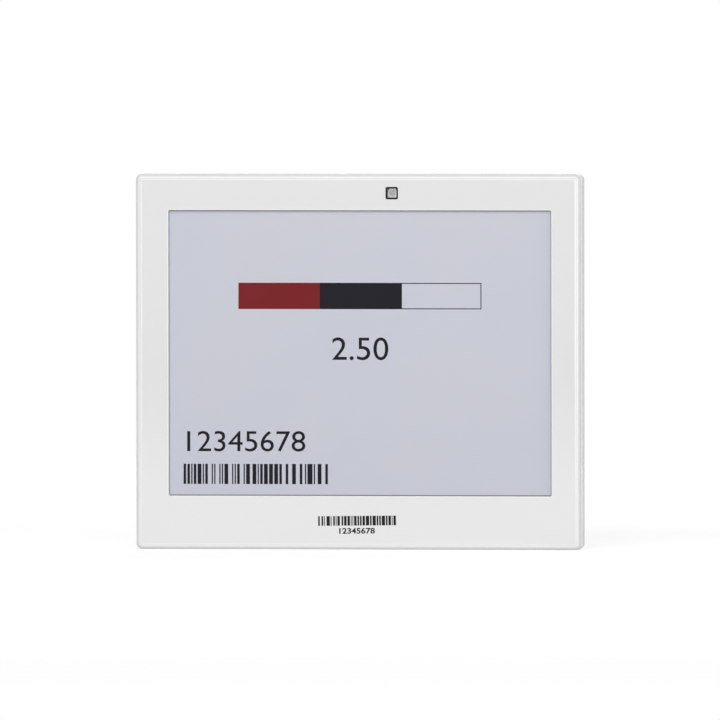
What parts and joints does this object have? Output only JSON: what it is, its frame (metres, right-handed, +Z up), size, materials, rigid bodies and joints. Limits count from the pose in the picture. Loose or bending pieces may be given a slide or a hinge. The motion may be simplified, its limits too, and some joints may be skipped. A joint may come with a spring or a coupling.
{
  "type": "electronic shelf label",
  "caption": "Free-standing e-paper shelf label: white bezel and rear cover, recessed display, light window, sliding battery door, rear pairing button and keyholes.",
  "frame": {"origin": "middle of the lower edge that the label stands on", "axes": "+X to the right as the display is read, +Y from the display to the rear face, +Z up"},
  "size_m": [0.1396, 0.012, 0.117],
  "materials": {
    "white_housing": "satin",
    "grey_button": "matte",
    "grey_foam": "matte",
    "epaper_film": "matte",
    "backplane_glass": "polished",
    "black_tape": "matte",
    "black_chip": "matte",
    "amber_flex": "gloss",
    "grey_tray": "matte",
    "black_shroud": "satin",
    "clear_guide": "frosted",
    "white_package": "matte",
    "green_board": "satin",
    "ivory_connector": "matte",
    "plated_can": "satin",
    "ferrite": "matte",
    "tan_ceramic": "satin",
    "contact_strip": "satin",
    "cell_steel": "satin",
    "screw_steel": "satin"
  },
  "bodies": {
    "label_case": {"front_bezel": "white_housing", "rear_cover": "white_housing", "display_gasket": "grey_foam", "display_film": "epaper_film", "display_glass": "backplane_glass", "display_tape": "black_tape", "driver_chip": "black_chip", "display_ribbon": "amber_flex", "display_tray": "grey_tray", "led_shroud": "black_shroud", "light_guide": "clear_guide", "led_chip": "white_package", "circuit_board": "green_board", "ribbon_connector": "ivory_connector", "radio_chip": "black_chip", "memory_chip": "black_chip", "crystal": "plated_can", "boost_inductor": "ferrite", "capacitors": "tan_ceramic", "resistors": "black_chip", "chip_antenna": "white_package", "tact_switch": "plated_can", "leaf_contacts": "contact_strip", "side_contacts": "contact_strip", "coin_cell_1": "cell_steel", "coin_cell_2": "cell_steel", "coin_cell_3": "cell_steel", "coin_cell_4": "cell_steel", "case_screws": "screw_steel"},
    "battery_door": {"battery_door": "white_housing"},
    "pairing_button": {"pairing_button": "grey_button"}
  },
  "joints": [
    {"name": "door_slide", "type": "slide", "parent": "label_case", "child": "battery_door", "axis": [0, 0, 1], "range_m": [0, 0.04]},
    {"name": "button_press", "type": "slide", "parent": "label_case", "child": "pairing_button", "axis": [0, -1, 0], "range_m": [0, 0.0003], "stiffness_N_per_m": 3000}
  ]
}
